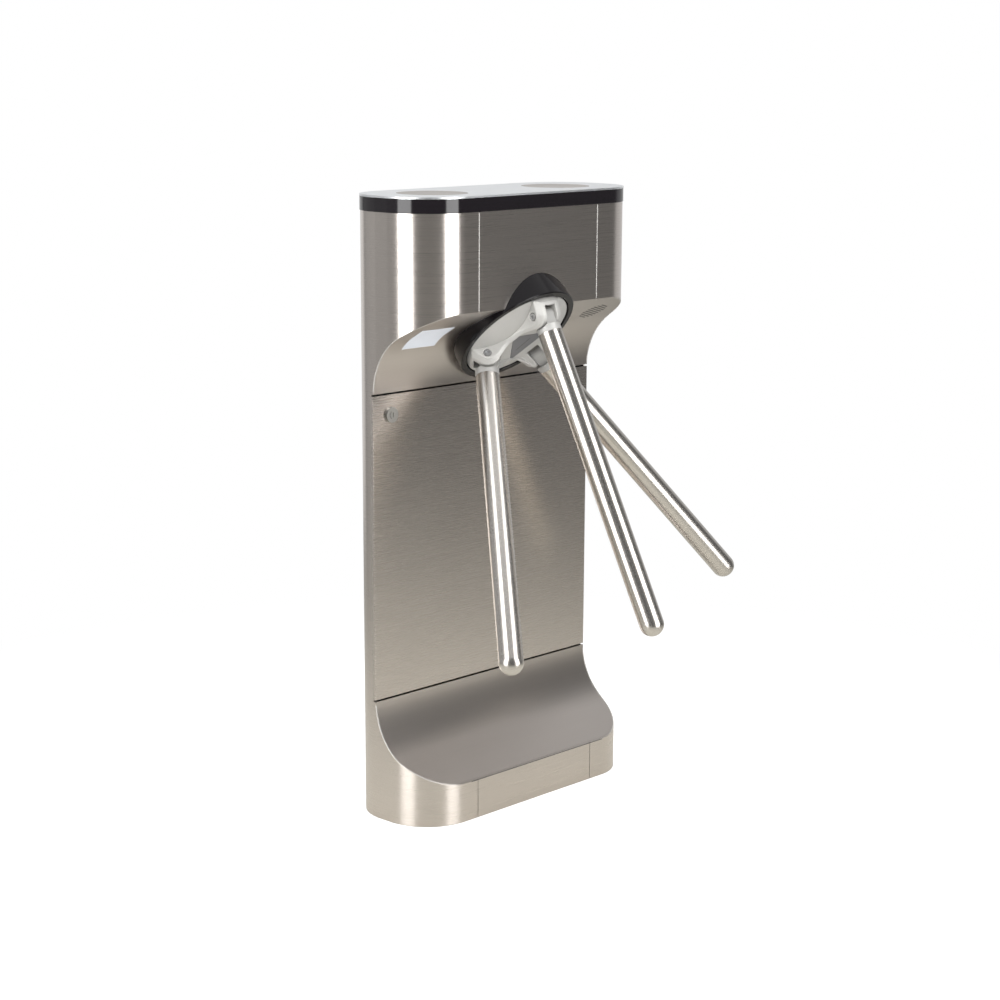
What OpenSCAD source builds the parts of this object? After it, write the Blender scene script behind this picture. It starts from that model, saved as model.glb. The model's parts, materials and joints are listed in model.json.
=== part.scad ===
// Tripod turnstile with a recessed cabinet, an inclined hub and three drop arms.
// Millimetres. X runs along the cabinet, the hub faces -Y, Z is up.
// The origin is on the floor at the centre of the anchor holes.

/* [Cabinet] */
// Width of the cabinet along the walkway
cabinet_w = 496; // [470:1:540]
// Depth of the cabinet from front to back
cabinet_d = 190; // [186:1:210]
// Radius of the four upright corners
corner_r = 82; // [76:1:88]
// Height from the floor to the top face
total_h = 980; // [960:5:1040]
// Thickness of the stainless sheets
sheet_t = 2; // [1.5:0.1:2.5]
// Width of the seams round the service panel
seam_gap = 3; // [2:0.5:4]
// Width of the upright seams
side_seam = 1.2; // [0.8:0.1:3]
// Width of the flat front and back sheets
flat_w = 270; // [250:1:300]

/* [Recess] */
// Depth of the cabinet behind the service panel
panel_back_d = 73.6; // [70:0.1:82]
// Height of the service panel's lower edge
panel_z0 = 192; // [180:1:215]
// Distance of the service panel's upper edge below the top
panel_drop = 302.5; // [295:0.5:315]
// Depth of the folded edge around the service panel
panel_fold = 5; // [4:0.5:8]
// Radius of the bend in both cowls
cowl_r = 106; // [98:1:110]
// Slope of the flat part of both cowls
cowl_slope = 30; // [28:1:32]

/* [Top] */
// Height of the black band and the top plate together
cap_h = 24; // [20:1:40]
// Thickness of the top plate
top_plate_t = 3; // [2:0.5:5]
// How far the black band stands out past the sheets
cap_overhang = 1; // [0.5:0.5:3]
// Width of the black band seen from above
band_w = 14; // [8:1:20]
// Diameter of the two round reader windows
window_d = 110; // [80:1:120]
// Distance of the reader windows' centres from the cabinet's ends
window_inset = 108; // [100:1:125]
// Thickness of the tray under the top
tray_t = 3; // [2:0.5:5]

/* [Hub place] */
// Tilt of the hub's axis below the horizontal
axis_tilt = 45; // [43:1:47]
// Distance of the collar's rim centre in front of the service panel
hub_front = 71.4; // [70:0.1:76]
// Height of the collar's rim centre above the service panel
hub_rise = 77.5; // [74:0.5:84]
// Turn of the hub at rest
hub_turn = 2.2; // [-3:0.1:3]

/* [Collar and hub] */
// Outer radius of the black collar
collar_r = 103; // [102:0.5:104]
// Wall of the black collar
collar_wall = 10; // [9:0.5:11]
// Depth of the collar from its rim to the drive plate
collar_len = 60; // [56:1:66]
// Running gap between the hub and the collar
hub_gap = 2; // [1:0.5:3]
// Height of the dome's middle above the rim plane
dome_h = 15.5; // [14:0.5:16.5]
// Radius of the dome's curve
dome_r = 250; // [240:10:280]
// Depth of the dish behind the rim plane
dish_back = 14; // [12:0.5:18]
// Height of the crown's flat middle
flat_h = 16; // [15.5:0.5:17]
// Height of the crown's edge between two arms
crest_h = 19; // [18:0.5:20]
// Radius of the crown's edge between two arms
crest_r = 40; // [39:0.5:41]
// Waist radius of the crown's foot between two arms
waist_r = 43; // [42:0.5:45]
// Radius of the three hollows in the foot's outline
hollow_r = 85; // [81:1:89]
// Radius of the rounded lobes about the pivots
ear_r = 18; // [17:0.5:19]

/* [Arms] */
// Diameter of the arm tubes
arm_d = 38; // [34:0.5:42]
// Wall of the arm tubes
arm_wall = 1.5; // [1:0.1:2.5]
// Length of an arm from its pivot to its tip
arm_len = 527; // [400:1:560]
// Distance of the arm pivots from the hub's axis
pivot_r = 67; // [65:0.5:69]
// Height of the arm pivots above the rim plane
pivot_h = 15; // [14:0.5:18]
// Diameter of the pivot pins
pin_d = 9; // [7:0.5:11]
// Distance from the pivot to the start of the tube
tube_start = 28.5; // [27:0.5:32]
// Width of the tongue between the ears
tongue_w = 21; // [18:0.5:23]
// Angle of the left arm at rest, from the hub's axis
arm_1_angle = 26.5; // [5:0.5:45]
// Angle of the middle arm at rest, dropped past the axis
arm_2_angle = -19; // [-20:0.5:45]
// Angle of the right arm at rest
arm_3_angle = 43; // [5:0.5:45]

/* [Drive] */
// Diameter of the hub shaft
shaft_d = 30; // [24:1:34]
// Outer diameter of the two shaft bearings
bearing_d = 55; // [48:1:58]
// Width of a shaft bearing
bearing_w = 14; // [10:1:16]
// Outer diameter of the bearing housing
housing_d = 76; // [72:1:84]
// Diameter of the index wheel
wheel_d = 96; // [90:1:100]
// Thickness of the index wheel
wheel_t = 8; // [6:0.5:10]
// Travel of the lock bolts
bolt_travel = 9; // [6:0.5:10]

/* [Base] */
// Thickness of the base plate
base_t = 8; // [6:1:12]
// Anchor hole spacing along the cabinet
anchor_x = 220; // [180:5:260]
// Anchor hole spacing across the cabinet
anchor_y = 120; // [100:5:130]
// Radius of the anchor holes
anchor_r = 7; // [5:0.5:9]
// Radius of the cable entry
entry_r = 25; // [15:1:28]

/* [Fittings] */
// Distance of the panel lock from the cabinet's left end
lock_inset = 38.5; // [36:0.5:50]
// Height of the panel lock below the panel's upper edge
lock_drop = 33; // [28:0.5:60]
// Diameter of the lock's bezel
bezel_d = 24; // [20:0.5:26]
// Distance of the speaker grille from the cabinet's right end
grille_inset = 66; // [60:1:72]
// Radius of the speaker grille
grille_r = 26; // [20:1:28]
// Spacing of the grille holes
grille_pitch = 5.2; // [4.5:0.1:7]
// Diameter of the grille holes
grille_hole_d = 3; // [1.5:0.1:3.2]
// Width of the bare plate on the upper cowl
plate_w = 70; // [50:1:80]
// Distance of the bare plate from the cabinet's left end
plate_inset = 36; // [33:1:50]

/* [Hidden] */
round_fn = 96;
small_fn = 32;
// Running gap of shafts and pins, on the radius
run_gap = 0.05;
// Gap between fixed pieces that meet
fit_gap = 0.3;
// Overrun of every cut
cut_over = 20;

// Cabinet
front_y = -cabinet_d / 2;
back_y = cabinet_d / 2;
cap_z = total_h - cap_h;
panel_y = back_y - panel_back_d;
panel_z1 = total_h - panel_drop;
bend_y = panel_y - cowl_r;
bend_angle = 90 - cowl_slope;
slope_y = bend_y + cowl_r * sin(cowl_slope);
slope_z = panel_z1 + cowl_r * cos(cowl_slope);
middle_z = (panel_z0 + panel_z1) / 2;
return_d = 10;
strap_w = 30;
strap_t = 3;
strap_lap = 3;

// Top
window_t = top_plate_t;
window_x = cabinet_w / 2 - window_inset;
reader_margin = 10;
reader_d = window_d - reader_margin;
tray_z = cap_z - tray_t;

// Base
grommet_wall = 5;
grommet_lip = 4;
grommet_lip_t = 3;
grommet_foot = 0.5;
entry_y = 15;

// Frame posts
post_w = 30;
post_t = 2.5;
post_out = 15;
post_x = flat_w / 2 + post_out;
post_back = 40;
post_y = back_y - post_back;
gusset_t = 6;
equipment_t = 3;
equipment_low_margin = 40;
equipment_top_margin = 30;
equipment_z0 = panel_z0 + equipment_low_margin;
equipment_z1 = panel_z1 - equipment_top_margin;

// Hub place
hub_y = panel_y - hub_front;
hub_z = panel_z1 + hub_rise;
bore_r = collar_r - collar_wall;
collar_edge = 1;
dish_r = bore_r - hub_gap;
crown_r = dish_r;
star_seat = -5;
seat_gap = 0.2;
arm_root_angles = [210, 90, 330];
arm_angles = [arm_1_angle, arm_2_angle, arm_3_angle];

// Crown with its three lobes
pivot = [pivot_r, pivot_h];
rim_h = 7;
weld = 0.05;
crown_top = pivot_h + 2 * ear_r;
crown_rim = [crown_r, rim_h];
crown_crest = [crest_r, crest_h];
crest_hollow_r = 117;
shoulder = 6;
lip_t = 3;
flank_at = 39.5;
flank_slope = 40;

// Central cap and the room under it
cap_flat = 21.4;
cap_t = 4.5;
cap_web = 2;
cap_top = flat_h;
cavity_r = 20.5;
pocket_floor = -9;

// Slots of the tongues
slot_gap = 0.4;
slot_w = tongue_w + 2 * slot_gap;
slot_in = 40;
end_bar = 3;
slot_out = crown_r - end_bar;
slot_floor = 0;

// Pivot pins and their end screws
pin_seat = 22.5;
pin_screw_r = 2.5;
pin_screw_len = 9;
pin_head_r = 5.6;
pin_head_t = 3.5;
pin_head_gap = 0.7;
pin_socket_r = 2.6;

// Screws of the bearing housing
screw_r = 2;
screw_head_r = 3.6;
screw_head_t = 2.5;

// Bolts between dish and shaft
hub_bolt_at = 28;
hub_bolt_r = 3;
hub_bolt_head_r = 5;
hub_bolt_head_t = 3.5;
flange_r = 36;
flange_t = 10;

// Arms
arm_r = arm_d / 2;
knuckle_r = 11.5;
tongue_t = 22;
neck_start = ear_r;
saddle_gap = 3.5;
spigot_len = 30;

// Drive, measured along the axis behind the rim plane
plate_t = 6;
drive_h = -collar_len;
drive_margin = 1;
drive_half_l = collar_r + drive_margin;
drive_front_clear = 13.3;
drive_room = hub_y - drive_h * cos(axis_tilt) - front_y - sheet_t - drive_front_clear;
drive_top = drive_room / sin(axis_tilt);
flange_back = drive_h - plate_t;
housing_flange_r = 52;
housing_flange_t = 8;
housing_mid_r = 20;
damper_r = 55;
damper_t = 24;
damper_h = drive_h + damper_t;
bracket_t = 4;
bracket_half_w = 115;
bracket_low = 30;
bracket_high = 55;
bracket_hole_r = 8;
bracket_clear = 7;
bracket_room = back_y - sheet_t - strap_t - bracket_clear - hub_y - bracket_low * sin(axis_tilt);
bracket_front = bracket_t - bracket_room / cos(axis_tilt);
drive_gap = 4;
nut_len = 8;
nut_r = 21;
shaft_end = bracket_front + drive_gap;
wheel_back = shaft_end + nut_len;
wheel_front = wheel_back + wheel_t;
wheel_mid = (wheel_front + wheel_back) / 2;
housing_back = wheel_front + drive_gap;
notch_count = 6;
notch_w = 11;
notch_spare = 1.5;
notch_depth = bolt_travel + notch_spare;
hole_ring_r = 28;
hole_ring_hole_r = 6;
pillar_x = 90;
pillar_low = -22;
pillar_high = 45;
pillar_r = 5;
bolt_w = 10;
bolt_t = 6;
bolt_gap = 0.8;
bolt_tip = wheel_d / 2 + bolt_gap;
bolt_len = 36;
solenoid_x = 62;
solenoid_len = 24;
solenoid_w = 28;
solenoid_h = 28;
rod_r = 5;
release_disc_r = 18;
release_disc_t = 4;
release_front = 8;
rod_reach = 16;
rod_end = bracket_front - rod_reach;
drop_r = 14;
drop_len = 24;
sensor_w = 16;

// Small parts on the sheets
lock_x = cabinet_w / 2 - lock_inset;
lock_z = panel_z1 - lock_drop;
bezel_t = 4;
barrel_r = 9.5;
barrel_len = 28;
plug_r = 6;
plug_front = 1;
plug_back = 4;
key_w = 1.4;
key_h = 7;
key_depth = 6;
cam_len = 18;
cam_w = 12;
cam_t = 3;
strike_t = 3;
strike_h = 24;
strike_reach = 26;
grille_along = 19;
grille_turn = 24;
grille_x = cabinet_w / 2 - grille_inset;
speaker_rim = 3;
speaker_cone = 4;
speaker_r = grille_r + speaker_rim;
speaker_t = 14;
speaker_cone_r = grille_r - speaker_cone;
plate_thick = 0.5;
plate_left = plate_inset - cabinet_w / 2;
plate_front = 45;
plate_len = 44;
plate_y0 = front_y + plate_front;
plate_y1 = plate_y0 + plate_len;

// Electrics
supply_size = [98, 38, 199];
supply_x = 75;
board_size = [120, 1.6, 180];
board_x = -70;
board_gap = 10;
board_lift = 60;
standoff_r = 3;
relay_size = [22, 16, 16];
relay_count = 4;
relay_pitch = 28;
chip_size = [26, 3, 26];
socket_size = [14, 12, 70];
terminal_size = [100, 22, 24];
terminal_count = 10;
terminal_slot = [5, 6, 12];
terminal_lift = 16;

// Plan outline of the cabinet, moved inwards by inset
module plan(inset) {
    square([cabinet_w - 2 * corner_r, cabinet_d - 2 * inset], center = true);
    square([cabinet_w - 2 * inset, cabinet_d - 2 * corner_r], center = true);
    for (x = [-1, 1], y = [-1, 1])
        translate([x * (cabinet_w / 2 - corner_r), y * (cabinet_d / 2 - corner_r)])
            circle(corner_r - inset, $fn = round_fn);
}

// Upright prism over the plan, between two heights
module prism(inset, z0, z1) translate([0, 0, z0]) linear_extrude(z1 - z0) plan(inset);

// Upright ring between two insets of the plan
module ring(inset, wall, z0, z1) {
    translate([0, 0, z0]) linear_extrude(z1 - z0) difference() {
        plan(inset);
        plan(inset + wall);
    }
}

// Box from its lowest corner to its highest corner
module box(low, high) translate(low) cube(high - low);

// Copies its children to both bends, X along the slope's normal and Y up the slope
module at_bends() {
    translate([bend_y, panel_z1]) rotate([0, 0, bend_angle]) children();
    translate([bend_y, panel_z0]) mirror([0, 1]) rotate([0, 0, bend_angle]) children();
}

// Slice of a disc between the panel's plane and the slope
module bend_slice(reach) {
    intersection() {
        circle(reach, $fn = round_fn);
        polygon([
            [0, 0],
            [2 * reach, 0],
            2 * reach * [cos(bend_angle / 2), -sin(bend_angle / 2)],
            2 * reach * [cos(bend_angle), -sin(bend_angle)]
        ]);
    }
}

// Side view of the recess in Y and Z, grown into the cabinet by g
module recess_side(g) {
    reach = cowl_r + g;
    at_bends() {
        bend_slice(reach);
        translate([-reach, 0]) square([2 * reach, cabinet_d]);
    }
    translate([bend_y - reach, panel_z0]) square([2 * reach, panel_z1 - panel_z0]);
}

// Side view of a bent sheet along both cowls, from depth g0 to depth g1
module band_side(g0, g1) {
    at_bends() {
        difference() {
            bend_slice(cowl_r + g1);
            circle(cowl_r + g0, $fn = round_fn);
        }
        translate([cowl_r + g0, 0]) square([g1 - g0, cabinet_d]);
    }
}

// The recess as a solid right through the cabinet
module recess(g) {
    rotate([90, 0, 90]) linear_extrude(cabinet_w + 2 * cut_over, center = true) recess_side(g);
}

// Curved sheet that follows the recess, from depth g0 to depth g1
module band(g0, g1) {
    rotate([90, 0, 90]) linear_extrude(cabinet_w + 2 * cut_over, center = true) band_side(g0, g1);
}

// Places its children in the hub's frame: Z out along the axis, Y up the rim plane
module in_hub() translate([0, hub_y, hub_z]) rotate([90 + axis_tilt, 0, 0]) children();

// The same frame, turned with the hub
module on_hub() in_hub() rotate([0, 0, hub_turn]) children();

// Cylinder along the hub's axis between two heights
module disc(r, h0, h1, fn = round_fn) translate([0, 0, h0]) cylinder(r = r, h = h1 - h0, $fn = fn);

// Room that the collar takes in the sheets
module collar_room() in_hub() disc(collar_r + fit_gap, drive_h, cut_over + cut_over);

// Frame on the slope of the upper cowl, Z into the cabinet
module on_slope(x, along) {
    translate([x, slope_y - along * cos(cowl_slope), slope_z + along * sin(cowl_slope)])
        rotate([-cowl_slope, 0, 0]) children();
}

// Cabinet sheets
module cheek() {
    edge = (flat_w + side_seam) / 2;
    color("darkgray") difference() {
        union() {
            intersection() {
                ring(0, sheet_t, 0, cap_z);
                box([edge, front_y - cut_over, 0], [cabinet_w, back_y + cut_over, cap_z]);
            }
            difference() {
                box([edge, front_y, middle_z], [edge + sheet_t, front_y + return_d, tray_z]);
                recess(sheet_t + fit_gap);
            }
        }
        recess(0);
        box([0, front_y - cut_over, panel_z0 - seam_gap / 2],
            [cabinet_w, panel_y + panel_fold + fit_gap, panel_z1 + seam_gap / 2]);
    }
}

module left_cheek() mirror([1, 0, 0]) cheek();

module right_cheek() cheek();

module back_panel() {
    edge = (flat_w - side_seam) / 2;
    color("darkgray") {
        box([-edge, back_y - sheet_t, 0], [edge, back_y, cap_z]);
        for (side = [-1, 1]) translate([side * (edge - strap_w / 2 + strap_lap), 0, 0])
            box([-strap_w / 2, back_y - sheet_t - strap_t, base_t + seam_gap],
                [strap_w / 2, back_y - sheet_t, tray_z - seam_gap]);
    }
}

module front_fascia() {
    edge = (flat_w - side_seam) / 2;
    color("dimgray") difference() {
        union() {
            box([-edge, front_y, middle_z], [edge, front_y + sheet_t, cap_z]);
            difference() {
                for (side = [-1, 1]) translate([side * (edge - sheet_t / 2), 0, 0])
                    box([-sheet_t / 2, front_y, middle_z], [sheet_t / 2, front_y + return_d, tray_z]);
                recess(sheet_t + fit_gap);
            }
        }
        recess(0);
        collar_room();
    }
}

module plinth_front() {
    edge = (flat_w - side_seam) / 2;
    color("darkgray") difference() {
        box([-edge, front_y, 0], [edge, front_y + sheet_t, middle_z]);
        recess(0);
    }
}

module upper_cowl() {
    holes = floor(grille_r / grille_pitch);
    color("gray") difference() {
        intersection() {
            band(0, sheet_t);
            prism(sheet_t + fit_gap, panel_z1 + seam_gap / 2, cap_z);
        }
        collar_room();
        on_slope(grille_x, grille_along) rotate([0, 0, grille_turn])
            for (i = [-holes : holes], j = [-holes : holes])
                if (norm([i, j]) * grille_pitch < grille_r)
                    translate([i * grille_pitch, j * grille_pitch, -sheet_t])
                        cylinder(d = grille_hole_d, h = 3 * sheet_t, $fn = small_fn);
    }
}

module lower_cowl() {
    color("gray") intersection() {
        band(0, sheet_t);
        prism(sheet_t + fit_gap, base_t, panel_z0 - seam_gap / 2);
    }
}

module service_panel() {
    low = panel_z0 + seam_gap / 2;
    high = panel_z1 - seam_gap / 2;
    color("silver") difference() {
        intersection() {
            prism(0, low, high);
            box([-cabinet_w, panel_y, low], [cabinet_w, panel_y + panel_fold, high]);
        }
        intersection() {
            prism(sheet_t, low + sheet_t, high - sheet_t);
            box([-cabinet_w, panel_y + sheet_t, low], [cabinet_w, back_y, high]);
        }
        translate([-lock_x, panel_y - cut_over, lock_z]) rotate([-90, 0, 0])
            cylinder(r = barrel_r + run_gap, h = 2 * cut_over, $fn = round_fn);
    }
}

// Top of the cabinet
module top_tray() color("gray") prism(sheet_t + fit_gap, tray_z, cap_z);

module cap_band() {
    color("black") ring(-cap_overhang, band_w, cap_z, total_h - top_plate_t);
}

module top_plate() {
    color("whitesmoke") difference() {
        prism(-cap_overhang, total_h - top_plate_t, total_h);
        for (side = [-1, 1]) translate([side * window_x, 0, cap_z])
            cylinder(r = window_d / 2 + fit_gap, h = cap_h + cut_over, $fn = round_fn);
    }
}

module reader_window(side) {
    color("rosybrown") translate([side * window_x, 0, total_h - window_t])
        cylinder(d = window_d, h = window_t, $fn = round_fn);
}

module reader_units() {
    color("darkgreen") for (side = [-1, 1]) translate([side * window_x, 0, cap_z])
        cylinder(d = reader_d, h = cap_h - top_plate_t, $fn = round_fn);
}

module blank_plate() {
    color("aliceblue") intersection() {
        band(-plate_thick - run_gap, -run_gap);
        box([plate_left, plate_y0, middle_z], [plate_left + plate_w, plate_y1, cap_z]);
    }
}

// Base and frame
module base_plate() {
    color("dimgray") difference() {
        prism(sheet_t + fit_gap, 0, base_t);
        for (x = [-1, 1], y = [-1, 1]) translate([x * anchor_x / 2, y * anchor_y / 2, -cut_over])
            cylinder(r = anchor_r, h = base_t + 2 * cut_over, $fn = small_fn);
        translate([0, entry_y, -cut_over])
            cylinder(r = entry_r + grommet_wall, h = base_t + 2 * cut_over, $fn = round_fn);
    }
}

module cable_grommet() {
    color("black") translate([0, entry_y, 0]) difference() {
        union() {
            disc(entry_r + grommet_wall, grommet_foot, base_t);
            disc(entry_r + grommet_wall + grommet_lip, base_t, base_t + grommet_lip_t);
        }
        disc(entry_r, -cut_over, base_t + cut_over);
    }
}

module frame_posts() {
    color("slategray") for (side = [-1, 1]) translate([side * (post_x + post_w / 2), post_y, 0])
        difference() {
            box([-post_w / 2, 0, base_t], [post_w / 2, post_w, tray_z]);
            box([-post_w / 2 + post_t, post_t, 0], [post_w / 2 - post_t, post_w - post_t, cap_z]);
        }
}

// A point of the drive in Y and Z, from its places up the rim plane and along the axis
function drive_point(up, out) = [
    hub_y - up * sin(axis_tilt) - out * cos(axis_tilt),
    hub_z + up * cos(axis_tilt) - out * sin(axis_tilt)
];

module side_gussets() {
    low = drive_point(-drive_half_l, drive_h);
    high = drive_point(drive_half_l / 2, drive_h);
    color("slategray") for (side = [-1, 1]) translate([side * (post_x - gusset_t / 2), 0, 0])
        rotate([90, 0, 90]) linear_extrude(gusset_t, center = true) polygon([
            low,
            high,
            [post_y, high[1] + post_w],
            [post_y + post_w, high[1] + post_w],
            [post_y + post_w, low[1] - post_w]
        ]);
}

module equipment_plate() {
    y1 = post_y + post_w;
    color("lightsteelblue")
        box([-post_x, y1 - equipment_t, equipment_z0], [post_x, y1, equipment_z1]);
}

// Hub collar and drive
module hub_collar() {
    color("black") in_hub() rotate_extrude($fn = round_fn) polygon([
        [bore_r, drive_h],
        [collar_r, drive_h],
        [collar_r, -collar_edge],
        [collar_r - collar_edge, 0],
        [bore_r + collar_edge, 0],
        [bore_r, -collar_edge]
    ]);
}

module drive_plate() {
    color("slategray") in_hub() difference() {
        box([-post_x + gusset_t, -drive_half_l, flange_back], [post_x - gusset_t, drive_top, drive_h]);
        disc(bearing_d / 2, flange_back - cut_over, drive_h + cut_over);
    }
}

module motion_damper() {
    color("goldenrod") in_hub() difference() {
        disc(damper_r, drive_h, damper_h);
        disc(shaft_d / 2 + run_gap, drive_h - cut_over, damper_h + cut_over);
    }
}

module bearing_housing() {
    color("gray") in_hub() difference() {
        union() {
            disc(housing_flange_r, flange_back - housing_flange_t, flange_back);
            disc(housing_d / 2, housing_back, flange_back);
        }
        disc(bearing_d / 2 + run_gap, flange_back - bearing_w, flange_back + cut_over);
        disc(bearing_d / 2 + run_gap, housing_back - cut_over, housing_back + bearing_w);
        disc(housing_mid_r, housing_back, flange_back);
        housing_screw_ring() disc(screw_r, -cut_over, cut_over, small_fn);
    }
}

// Copies its children at the six screws of the housing's flange
module housing_screw_ring() {
    for (i = [0 : 5]) rotate([0, 0, 30 + i * 60])
        translate([(housing_flange_r + housing_d / 2) / 2, 0, flange_back]) children();
}

module housing_screws() {
    color("silver") in_hub() housing_screw_ring() {
        disc(screw_r, -housing_flange_t, 0, small_fn);
        disc(screw_head_r, -housing_flange_t - screw_head_t, -housing_flange_t, small_fn);
    }
}

module bearing(h0) {
    color("lightgray") in_hub() difference() {
        disc(bearing_d / 2, h0, h0 + bearing_w);
        disc(shaft_d / 2 + run_gap, h0 - cut_over, h0 + bearing_w + cut_over);
    }
}

module rear_pillars() {
    color("silver") in_hub() for (x = [-pillar_x, pillar_x], y = [pillar_low, pillar_high])
        translate([x, y, 0]) disc(pillar_r, bracket_front, flange_back, small_fn);
}

module rear_bracket() {
    color("slategray") in_hub() difference() {
        box([-bracket_half_w, -bracket_low, bracket_front - bracket_t],
            [bracket_half_w, bracket_high, bracket_front]);
        disc(bracket_hole_r, bracket_front - cut_over, bracket_front + cut_over);
    }
}

module lock_solenoid(side) {
    color("firebrick") in_hub() mirror([side < 0 ? 1 : 0, 0, 0]) difference() {
        box([solenoid_x, -solenoid_w / 2, bracket_front],
            [solenoid_x + solenoid_len, solenoid_w / 2, bracket_front + solenoid_h]);
        box([solenoid_x - cut_over, -bolt_w / 2 - fit_gap, wheel_mid - bolt_t / 2 - fit_gap],
            [solenoid_x + solenoid_len + cut_over, bolt_w / 2 + fit_gap, wheel_mid + bolt_t / 2 + fit_gap]);
    }
}

module lock_bolt(side) {
    color("silver") in_hub() mirror([side < 0 ? 1 : 0, 0, 0])
        box([bolt_tip, -bolt_w / 2, wheel_mid - bolt_t / 2],
            [bolt_tip + bolt_len, bolt_w / 2, wheel_mid + bolt_t / 2]);
}

module drop_solenoid() {
    end = bracket_front - bracket_t;
    color("firebrick") in_hub() difference() {
        disc(drop_r, end - drop_len, end);
        disc(rod_r + run_gap, end - drop_len + bracket_t, end + cut_over);
    }
}

module position_sensor() {
    color("navy") in_hub()
        box([-sensor_w / 2, wheel_d / 2 + bolt_gap, bracket_front],
            [sensor_w / 2, bracket_high, wheel_front]);
}

// Hub that turns
// Outline with a hollow between each two lobes, grown by g
module hollowed(mid, hollow, g) {
    difference() {
        circle(2 * crown_r, $fn = round_fn);
        for (root = arm_root_angles) rotate([0, 0, root + 60]) translate([mid + hollow, 0])
            circle(hollow - g, $fn = round_fn);
    }
}

// Point where a line from p just sinks into the circle round c
function touch(p, c, r, side) =
    let (turn = atan2(p[1] - c[1], p[0] - c[0]) + side * acos((r - weld) / norm(p - c)))
    c + (r - weld) * [cos(turn), sin(turn)];

// Half section of the crown, lowered by drop
module crown_profile(drop) {
    outer = touch(crown_rim, pivot, ear_r, 1);
    foot = 2 * crown_rim - outer;
    translate([0, -drop]) {
        translate(pivot) circle(ear_r, $fn = round_fn);
        polygon([
            [0, foot[1]],
            foot,
            outer,
            touch(crown_crest, pivot, ear_r, -1),
            crown_crest,
            [0, crest_h]
        ]);
    }
}

module crown_layer(mid, hollow, drop) {
    intersection() {
        translate([0, 0, star_seat - seat_gap]) linear_extrude(crown_top - star_seat)
            hollowed(mid, hollow, 0);
        rotate_extrude($fn = round_fn) crown_profile(drop);
    }
}

// Room below the sloping inner flank of a lobe
module flank_room() {
    rotate([90, 0, 0]) linear_extrude(4 * crown_r, center = true) polygon([
        [-2 * crown_r, 0],
        [flank_at - flat_h / tan(flank_slope), 0],
        [flank_at + (crown_top - flat_h) / tan(flank_slope), crown_top],
        [-2 * crown_r, crown_top]
    ]);
}

module crown_room() {
    intersection() {
        translate([0, 0, flat_h]) linear_extrude(crown_top)
            hollowed(crest_r, crest_hollow_r, -lip_t);
        rotate([0, 0, arm_root_angles[0]]) flank_room();
        rotate([0, 0, arm_root_angles[1]]) flank_room();
        rotate([0, 0, arm_root_angles[2]]) flank_room();
    }
}

// Outline of the central cap, shrunk by gap
module cap_outline(gap) {
    intersection() {
        hollowed(crest_r, crest_hollow_r, -lip_t - gap);
        polygon([for (root = arm_root_angles)
            2 * (cap_flat - gap) * [cos(root + 60), sin(root + 60)]]);
    }
}

// Slots for the three tongues
module tongue_slots() {
    for (root = arm_root_angles) rotate([0, 0, root])
        box([slot_in, -slot_w / 2, slot_floor], [slot_out, slot_w / 2, crown_top]);
}

// Copies its children at the pivots, Z along the pin
module at_pivots() {
    for (root = arm_root_angles) rotate([0, 0, root]) translate([pivot_r, 0, pivot_h])
        rotate([90, 0, 0]) children();
}

// Copies its children at both ends of every pin, Z outwards
module at_pin_ends() {
    for (turn = [0, 180]) at_pivots() rotate([turn, 0, 0]) translate([0, 0, pin_seat]) children();
}

module at_hub_bolts() {
    for (root = arm_root_angles) rotate([0, 0, root + 60]) translate([hub_bolt_at, 0, 0]) children();
}

module hub_dish() {
    color("lightgray") on_hub() difference() {
        rotate_extrude($fn = round_fn) intersection() {
            translate([0, -dish_back]) square([dish_r, dish_back + dome_h]);
            translate([0, dome_h - dome_r]) circle(dome_r, $fn = round_fn);
        }
        translate([0, 0, star_seat]) linear_extrude(2 * cut_over)
            hollowed(waist_r, hollow_r, seat_gap);
        disc(cavity_r, pocket_floor, cut_over);
        disc(rod_r + run_gap, -cut_over, cut_over);
        at_hub_bolts() {
            disc(hub_bolt_r, -cut_over, 0, small_fn);
            disc(hub_bolt_head_r + seat_gap, pocket_floor, 0, small_fn);
        }
    }
}

module hub_star() {
    color("gainsboro") on_hub() difference() {
        intersection() {
            disc(crown_r, star_seat, crown_top);
            union() {
                crown_layer(waist_r, hollow_r, shoulder);
                crown_layer((waist_r + crest_r) / 2, (hollow_r + crest_hollow_r) / 2, shoulder / 2);
                crown_layer(crest_r, crest_hollow_r, 0);
            }
        }
        crown_room();
        tongue_slots();
        translate([0, 0, cap_top - cap_t]) linear_extrude(cut_over) cap_outline(seat_gap);
        disc(cavity_r, star_seat - cut_over, cap_top - cap_t - cap_web);
        at_pivots()
            cylinder(d = pin_d, h = 2 * (pin_seat + pin_head_t), center = true, $fn = small_fn);
        at_pin_ends() disc(pin_head_r + pin_head_gap, 0, cut_over, small_fn);
    }
}

module central_cap() {
    color("dimgray") on_hub() translate([0, 0, cap_top - cap_t]) linear_extrude(cap_t)
        cap_outline(2 * seat_gap);
}

module hub_screws() {
    color("gray") on_hub() at_pin_ends() difference() {
        union() {
            disc(pin_screw_r, -pin_screw_len, 0, small_fn);
            disc(pin_head_r, 0, pin_head_t, small_fn);
        }
        disc(pin_socket_r, pin_head_t / 2, cut_over, 6);
    }
}

module hub_bolts() {
    color("gray") on_hub() at_hub_bolts() {
        disc(hub_bolt_r, -dish_back - flange_t, pocket_floor, small_fn);
        disc(hub_bolt_head_r, pocket_floor, pocket_floor + hub_bolt_head_t, small_fn);
    }
}

module pivot_pins() {
    color("silver") on_hub() difference() {
        at_pivots() cylinder(d = pin_d, h = 2 * pin_seat, center = true, $fn = small_fn);
        at_pin_ends() disc(pin_screw_r, -pin_screw_len, cut_over, small_fn);
    }
}

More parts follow.
